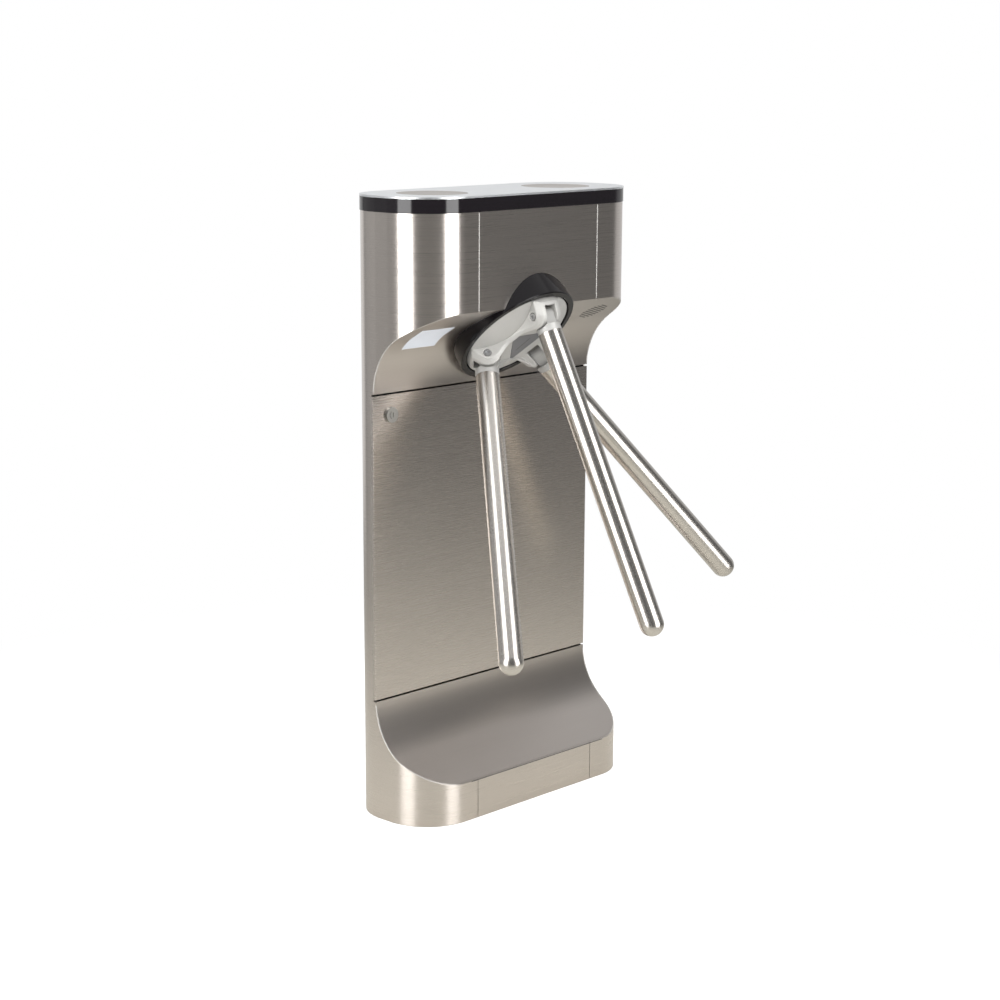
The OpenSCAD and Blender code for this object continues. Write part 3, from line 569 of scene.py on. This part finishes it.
def floor():
    """The camera sees a pale floor that turns pure white farther off, mirrors see one that
    turns darker farther off, and all other rays see the pale one."""
    me = bpy.data.meshes.new("floor")
    bm = bmesh.new()
    bmesh.ops.create_circle(bm, cap_ends=True, segments=96, radius=FLOOR_R)
    bm.to_mesh(me)
    bm.free()
    ob = new_object("floor", me)
    ob.location = (0, 0, -FLOOR_DROP)
    m = emptied(bpy.data.materials.new("floor"))
    out = add(m, "ShaderNodeOutputMaterial")
    tc = add(m, "ShaderNodeTexCoord")
    far = add(m, "ShaderNodeVectorMath", operation="LENGTH")
    link(m, tc.outputs["Object"], far.inputs[0])

    pale = add(m, "ShaderNodeBsdfDiffuse", {"Color": FLOOR_PALE})
    glow = add(m, "ShaderNodeEmission", {"Color": WHITE, "Strength": FLOOR_GLOW})
    lit = add(m, "ShaderNodeAddShader")
    link(m, pale.outputs[0], lit.inputs[0])
    link(m, glow.outputs[0], lit.inputs[1])
    white = add(m, "ShaderNodeEmission", {"Color": WHITE, "Strength": 1.0})
    whiten = add(m, "ShaderNodeMapRange", {"From Min": WHITE_FROM, "From Max": WHITE_TO},
                 interpolation_type="SMOOTHSTEP")
    link(m, far.outputs["Value"], whiten.inputs["Value"])
    seen = mixed(m, whiten.outputs["Result"], lit, white)

    darken = add(m, "ShaderNodeMapRange", {"From Min": DARK_FROM, "From Max": DARK_TO})
    link(m, far.outputs["Value"], darken.inputs["Value"])
    tone = add(m, "ShaderNodeMix", {"A": MIRRORED_NEAR, "B": MIRRORED_FAR}, data_type="RGBA")
    link(m, darken.outputs["Result"], tone.inputs["Factor"])
    mirrored = add(m, "ShaderNodeBsdfDiffuse")
    link(m, tone.outputs["Result"], mirrored.inputs["Color"])

    rays = add(m, "ShaderNodeLightPath")
    other = mixed(m, rays.outputs["Is Glossy Ray"], pale, mirrored)
    every = mixed(m, rays.outputs["Is Camera Ray"], other, seen)
    link(m, every.outputs[0], out.inputs[0])
    me.materials.append(m)


floor()


# Studio wall that only reflections see: soft boxes, grey flags and white stretches.
WALL_R, WALL_H = 2.3, 3.2
WALL_STRENGTH = 6

# Directions round the part in degrees, and the share of the strength there
WALL_STOPS = (
    (-180, 1.0), (-167, 1.0), (-165.5, 0.026), (-97.5, 0.026), (-96, 1.0), (-69, 1.0),
    (-67.5, 0.022), (-25, 0.026), (-15, 0.09), (40, 0.13), (90, 0.13), (97, 0.04),
    (104, 0.073), (135, 0.083), (140, 0.059), (165.5, 0.059), (167, 1.0), (180, 1.0),
)


def studio_wall():
    me = bpy.data.meshes.new("studio_wall")
    bm = bmesh.new()
    bmesh.ops.create_cone(bm, cap_ends=False, segments=128, radius1=WALL_R, radius2=WALL_R,
                          depth=WALL_H)
    bm.to_mesh(me)
    bm.free()
    ob = new_object("studio_wall", me)
    ob.location = (0, 0, WALL_H / 2)
    m = emptied(bpy.data.materials.new("studio_wall"))
    out = add(m, "ShaderNodeOutputMaterial")
    tc = add(m, "ShaderNodeTexCoord")
    parts = add(m, "ShaderNodeSeparateXYZ")
    angle = add(m, "ShaderNodeMath", operation="ARCTAN2")
    round_share = add(m, "ShaderNodeMapRange", {"From Min": -math.pi, "From Max": math.pi})
    ramp = add(m, "ShaderNodeValToRGB")
    stops = ramp.color_ramp.elements
    while len(stops) > 1:
        stops.remove(stops[-1])
    stops[0].position = 0
    for k, (degrees, v) in enumerate(WALL_STOPS):
        stop = stops.new((degrees + 180) / 360) if k else stops[0]
        stop.color = (v, v, v, 1)
    lamp = add(m, "ShaderNodeEmission", {"Strength": WALL_STRENGTH})
    link(m, tc.outputs["Object"], parts.inputs["Vector"])
    link(m, parts.outputs["Y"], angle.inputs[0])
    link(m, parts.outputs["X"], angle.inputs[1])
    link(m, angle.outputs[0], round_share.inputs["Value"])
    link(m, round_share.outputs["Result"], ramp.inputs["Fac"])
    link(m, ramp.outputs["Color"], lamp.inputs["Color"])
    link(m, lamp.outputs[0], out.inputs[0])
    me.materials.append(m)
    ob.visible_camera = False
    ob.visible_diffuse = False
    ob.visible_shadow = False


studio_wall()


# Lamps that neither the camera nor reflections see
def area(name, place, aim, size, watts):
    data = bpy.data.lights.new(name, "AREA")
    data.shape = "SQUARE"
    data.size = size
    data.energy = watts
    ob = new_object(name, data)
    ob.location = place
    ob.rotation_euler = (Vector(place) - Vector(aim)).to_track_quat("Z", "Y").to_euler()
    ob.visible_camera = False
    ob.visible_glossy = False


area("key", place=(-1.6, -2.6, 2.6), aim=(0, 0, 0.5), size=2.0, watts=75)
area("side", place=(-3.0, 0.2, 1.8), aim=(0, 0, 0.5), size=1.6, watts=35)
area("overhead", place=(0.2, -0.2, 3.6), aim=(0, 0, 0), size=3.0, watts=90)


# World: white for the camera, reflections and transmission, softer for the light it gives
SOFT_WORLD = 0.45


def world():
    w = emptied(bpy.data.worlds.new("world"))
    bpy.context.scene.world = w
    out = add(w, "ShaderNodeOutputWorld")
    soft = add(w, "ShaderNodeBackground", {"Color": WHITE, "Strength": SOFT_WORLD})
    white = add(w, "ShaderNodeBackground", {"Color": WHITE, "Strength": 1.0})
    rays = add(w, "ShaderNodeLightPath")
    seen = add(w, "ShaderNodeMath", operation="MAXIMUM")
    link(w, rays.outputs["Is Camera Ray"], seen.inputs[0])
    link(w, rays.outputs["Is Glossy Ray"], seen.inputs[1])
    any_seen = add(w, "ShaderNodeMath", operation="MAXIMUM")
    link(w, seen.outputs[0], any_seen.inputs[0])
    link(w, rays.outputs["Is Transmission Ray"], any_seen.inputs[1])
    link(w, mixed(w, any_seen.outputs[0], soft, white).outputs[0], out.inputs[0])


world()

bpy.context.scene.view_settings.view_transform = "Standard"
